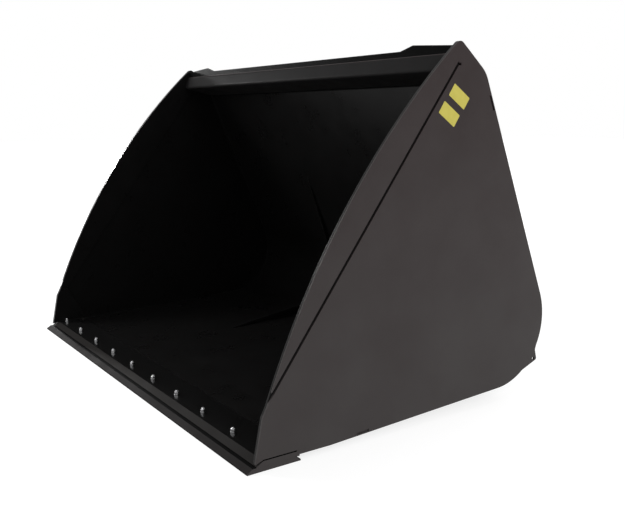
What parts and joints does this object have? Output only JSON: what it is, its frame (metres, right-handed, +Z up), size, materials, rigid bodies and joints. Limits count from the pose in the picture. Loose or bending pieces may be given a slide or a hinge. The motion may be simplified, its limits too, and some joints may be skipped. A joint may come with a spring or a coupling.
{
  "type": "high capacity bucket",
  "caption": "Large welded loader bucket for light bulk material, with bowed side plates, a bolt-on reversible cutting edge, a hollow top rail and a rear hook-and-pin hitch.",
  "frame": {"origin": "on the ground under the middle of the bucket's overall box", "axes": "+X across the width towards the plate nearest the camera, +Y from the mouth to the hitch, +Z up"},
  "size_m": [2.45, 1.7592, 1.585],
  "materials": {
    "black_paint": "satin black paint",
    "zinc": "bright zinc plating",
    "bare_steel": "machined steel"
  },
  "bodies": {
    "root": {"cutting_edge": "black_paint", "base_edge": "black_paint", "edge_bolts": "zinc", "edge_washers": "zinc", "edge_nuts": "zinc", "corner_plugs": "black_paint", "floor_sheet": "black_paint", "back_sheet": "black_paint", "side_plate_left": "black_paint", "side_plate_right": "black_paint", "front_band_left": "black_paint", "front_band_right": "black_paint", "edge_doubler_left": "black_paint", "edge_doubler_right": "black_paint", "corner_plate_left": "black_paint", "corner_plate_right": "black_paint", "top_rail": "black_paint", "top_lip": "black_paint", "rail_end_plates": "black_paint", "rail_diaphragms": "black_paint", "floor_runners": "black_paint", "wear_strips": "black_paint", "back_ribs": "black_paint", "hitch_pads": "black_paint", "hitch_cheeks": "black_paint", "hitch_top_pins": "bare_steel", "hitch_lower_bushes": "bare_steel", "hitch_cross_tube": "black_paint", "hitch_tie_plates": "black_paint"}
  },
  "joints": []
}
